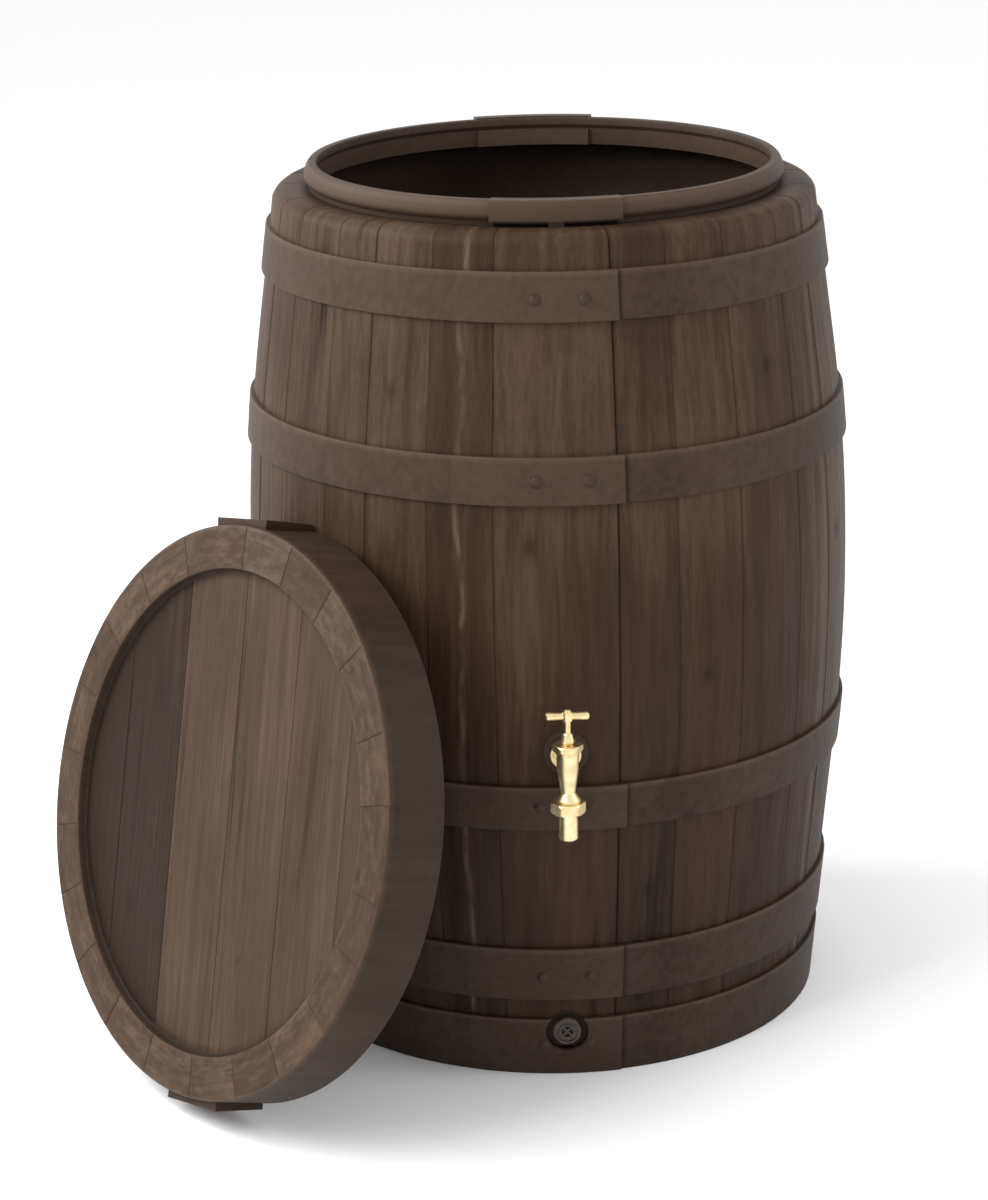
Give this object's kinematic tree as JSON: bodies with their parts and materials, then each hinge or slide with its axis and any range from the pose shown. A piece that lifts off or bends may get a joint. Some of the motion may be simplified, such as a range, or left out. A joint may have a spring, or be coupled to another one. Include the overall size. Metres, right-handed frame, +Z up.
{
  "type": "rain barrel",
  "caption": "Wood-look moulded rain barrel with flat hoops, an open collared mouth, a loose round lid leaning against it, a brass draw-off tap and a drain plug.",
  "frame": {"origin": "centre of the barrel's flat base, on the surface it stands on", "axes": "+Z up along the barrel's axis; -Y towards the tap and the drain plug; the lid leans at the left front, towards -X and -Y"},
  "size_m": [0.9002, 0.8962, 0.9575],
  "materials": {
    "barrel_plastic": "moulded wood grain, satin",
    "lid_plastic": "moulded wood grain, satin",
    "plug_plastic": "smooth, satin",
    "brass": "bright cast and turned brass",
    "rubber": "matt black",
    "gasket_fibre": "red fibre"
  },
  "bodies": {
    "barrel": {"barrel_body": "barrel_plastic", "tap_body": "brass", "tap_flange_washer": "rubber", "tap_inner_washer": "rubber", "tap_backnut": "brass", "tap_bonnet": "brass", "tap_bonnet_gasket": "gasket_fibre", "tap_gland_nut": "brass", "tap_packing": "gasket_fibre"},
    "lid": {"lid": "lid_plastic"},
    "tap_valve": {"tap_jumper": "brass", "tap_seat_washer": "rubber", "tap_washer_nut": "brass"},
    "tap_handle": {"tap_spindle": "brass", "tap_handle_bar": "brass"},
    "hose_union": {"tap_hose_tail": "brass", "tap_union_washer": "rubber"},
    "union_nut": {"tap_union_nut": "brass"},
    "drain_seal": {"drain_plug_seal": "rubber"},
    "drain_screw": {"drain_plug": "plug_plastic"}
  },
  "joints": [
    {"name": "lid_lift", "type": "slide", "parent": "barrel", "child": "lid", "axis": [-0.1604, -0.1322, 0.9781], "range_m": [0, 0.6]},
    {"name": "tap_lift", "type": "slide", "parent": "barrel", "child": "tap_valve", "axis": [0, 0, 1], "range_m": [0, 0.00444]},
    {"name": "tap_turn", "type": "hinge", "parent": "tap_valve", "child": "tap_handle", "pos_m": [0, -0.375, 0.441], "axis": [0, 0, 1], "range_deg": [0, 630]},
    {"name": "union_drop", "type": "slide", "parent": "barrel", "child": "hose_union", "axis": [0, 0, -1], "range_m": [0, 0.00544]},
    {"name": "union_turn", "type": "hinge", "parent": "hose_union", "child": "union_nut", "pos_m": [0, -0.375, 0.341], "axis": [0, 0, -1], "range_deg": [0, 1080]},
    {"name": "drain_back_out", "type": "slide", "parent": "barrel", "child": "drain_seal", "axis": [0, -1, 0], "range_m": [0, 0.01269]},
    {"name": "drain_turn", "type": "hinge", "parent": "drain_seal", "child": "drain_screw", "pos_m": [0, -0.305, 0.052], "axis": [0, -1, 0], "range_deg": [0, 2520]}
  ],
  "couplings": [
    {"joint": "tap_turn", "follows": "tap_lift", "rad_per_m": 2473.7},
    {"joint": "union_turn", "follows": "union_drop", "rad_per_m": 3463.7},
    {"joint": "drain_turn", "follows": "drain_back_out", "rad_per_m": 3463.7}
  ]
}
